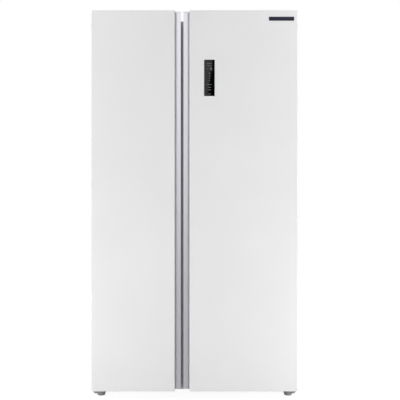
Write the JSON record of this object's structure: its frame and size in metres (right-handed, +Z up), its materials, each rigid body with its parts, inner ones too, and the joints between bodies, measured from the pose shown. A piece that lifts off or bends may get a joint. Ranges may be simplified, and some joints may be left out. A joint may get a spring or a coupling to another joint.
{
  "type": "side by side refrigerator",
  "caption": "White side by side refrigerator with full height grip recesses, a narrow touch display, glass shelves, drawers, door bins and a compressor cooling circuit.",
  "frame": {"origin": "middle of the footprint, on the floor under the feet", "axes": "+Z up, -Y out of the door fronts, +X to the right when facing the doors"},
  "size_m": [0.91, 0.66, 1.73],
  "materials": {
    "white_enamel": "gloss",
    "satin_aluminium": "satin",
    "white_plastic": "satin",
    "liner_white": "satin",
    "foam": "matte",
    "gasket_grey": "matte",
    "shelf_glass": "gloss",
    "clear_plastic": "gloss",
    "black_glass": "gloss",
    "badge_dark": "gloss",
    "hinge_steel": "satin",
    "zinc_steel": "satin",
    "grey_plastic": "satin",
    "black_plastic": "satin",
    "black_steel": "satin",
    "copper": "satin",
    "fin_aluminium": "satin",
    "rubber_black": "matte",
    "lamp_diffuser": "satin",
    "polymer_bush": "satin"
  },
  "bodies": {
    "cabinet": {"outer_case": "white_enamel", "back_panel": "zinc_steel", "bottom_panel": "zinc_steel", "mullion_strip": "hinge_steel", "foam_insulation": "foam", "air_sleeve": "white_plastic", "freezer_liner": "liner_white", "fridge_liner": "liner_white", "freezer_shelves": "shelf_glass", "fridge_shelves": "shelf_glass", "shelf_trims": "white_plastic", "interior_lamps": "lamp_diffuser", "drawer_runners": "white_plastic", "top_hinges": "hinge_steel", "bottom_hinges": "hinge_steel", "hinge_covers": "white_plastic", "hinge_screws": "zinc_steel", "evaporator": "fin_aluminium", "evaporator_cover": "liner_white", "fridge_air_duct": "liner_white", "fan_motors": "black_plastic", "condenser_coil": "black_steel", "compressor": "black_steel", "compressor_grommets": "rubber_black", "refrigerant_tubes": "copper", "drain_pan": "black_plastic", "control_box": "grey_plastic", "front_base_rail": "zinc_steel", "machine_base_plate": "zinc_steel", "rear_cover": "zinc_steel", "cord_inlet": "black_plastic", "roller_axles": "zinc_steel"},
    "left_door": {"left_door_skin": "white_enamel", "left_door_foam": "foam", "left_door_liner": "liner_white", "left_door_caps": "white_plastic", "left_handle": "satin_aluminium", "left_gasket": "gasket_grey", "left_door_bins": "clear_plastic", "left_door_bushes": "polymer_bush"},
    "right_door": {"right_door_skin": "white_enamel", "right_door_foam": "foam", "right_door_liner": "liner_white", "right_door_caps": "white_plastic", "right_handle": "satin_aluminium", "right_gasket": "gasket_grey", "right_door_bins": "clear_plastic", "right_door_bushes": "polymer_bush", "display_panel": "black_glass", "badge_plate": "badge_dark"},
    "freezer_drawer_upper": {"freezer_drawer_upper": "clear_plastic"},
    "freezer_drawer_lower": {"freezer_drawer_lower": "clear_plastic"},
    "crisper_drawer_upper": {"crisper_drawer_upper": "clear_plastic"},
    "crisper_drawer_lower": {"crisper_drawer_lower": "clear_plastic"},
    "foot_left": {"levelling_foot_left": "grey_plastic"},
    "foot_right": {"levelling_foot_right": "grey_plastic"},
    "roller_left": {"rear_roller_left": "black_plastic"},
    "roller_right": {"rear_roller_right": "black_plastic"},
    "evaporator_fan_rotor": {"evaporator_fan": "grey_plastic"},
    "condenser_fan_rotor": {"condenser_fan": "black_plastic"}
  },
  "joints": [
    {"name": "left_door_hinge", "type": "hinge", "parent": "cabinet", "child": "left_door", "pos_m": [-0.437, -0.2988, 0.04], "axis": [0, 0, -1], "range_deg": [0, 120]},
    {"name": "right_door_hinge", "type": "hinge", "parent": "cabinet", "child": "right_door", "pos_m": [0.437, -0.2988, 0.04], "axis": [0, 0, 1], "range_deg": [0, 120]},
    {"name": "freezer_drawer_upper_slide", "type": "slide", "parent": "cabinet", "child": "freezer_drawer_upper", "axis": [0, -1, 0], "range_m": [0, 0.17]},
    {"name": "freezer_drawer_lower_slide", "type": "slide", "parent": "cabinet", "child": "freezer_drawer_lower", "axis": [0, -1, 0], "range_m": [0, 0.17]},
    {"name": "crisper_drawer_upper_slide", "type": "slide", "parent": "cabinet", "child": "crisper_drawer_upper", "axis": [0, -1, 0], "range_m": [0, 0.17]},
    {"name": "crisper_drawer_lower_slide", "type": "slide", "parent": "cabinet", "child": "crisper_drawer_lower", "axis": [0, -1, 0], "range_m": [0, 0.17]},
    {"name": "left_foot_screw", "type": "hinge", "parent": "cabinet", "child": "foot_left", "pos_m": [-0.428, -0.2048, 0], "axis": [0, 0, 1], "continuous": true},
    {"name": "right_foot_screw", "type": "hinge", "parent": "cabinet", "child": "foot_right", "pos_m": [0.428, -0.2048, 0], "axis": [0, 0, 1], "continuous": true},
    {"name": "left_roller_axle", "type": "hinge", "parent": "cabinet", "child": "roller_left", "pos_m": [-0.4, 0.285, 0.018], "axis": [1, 0, 0], "continuous": true},
    {"name": "right_roller_axle", "type": "hinge", "parent": "cabinet", "child": "roller_right", "pos_m": [0.4, 0.285, 0.018], "axis": [1, 0, 0], "continuous": true},
    {"name": "evaporator_fan_shaft", "type": "hinge", "parent": "cabinet", "child": "evaporator_fan_rotor", "pos_m": [-0.244, 0.213, 1.11], "axis": [0, 1, 0], "continuous": true},
    {"name": "condenser_fan_shaft", "type": "hinge", "parent": "cabinet", "child": "condenser_fan_rotor", "pos_m": [-0.08, 0.242, 0.119], "axis": [1, 0, 0], "continuous": true}
  ],
  "couplings": [
    {"joint": "freezer_drawer_upper_slide", "follows": "left_door_hinge", "m_per_rad": 0.08},
    {"joint": "freezer_drawer_lower_slide", "follows": "left_door_hinge", "m_per_rad": 0.08},
    {"joint": "crisper_drawer_upper_slide", "follows": "right_door_hinge", "m_per_rad": 0.08},
    {"joint": "crisper_drawer_lower_slide", "follows": "right_door_hinge", "m_per_rad": 0.08}
  ]
}
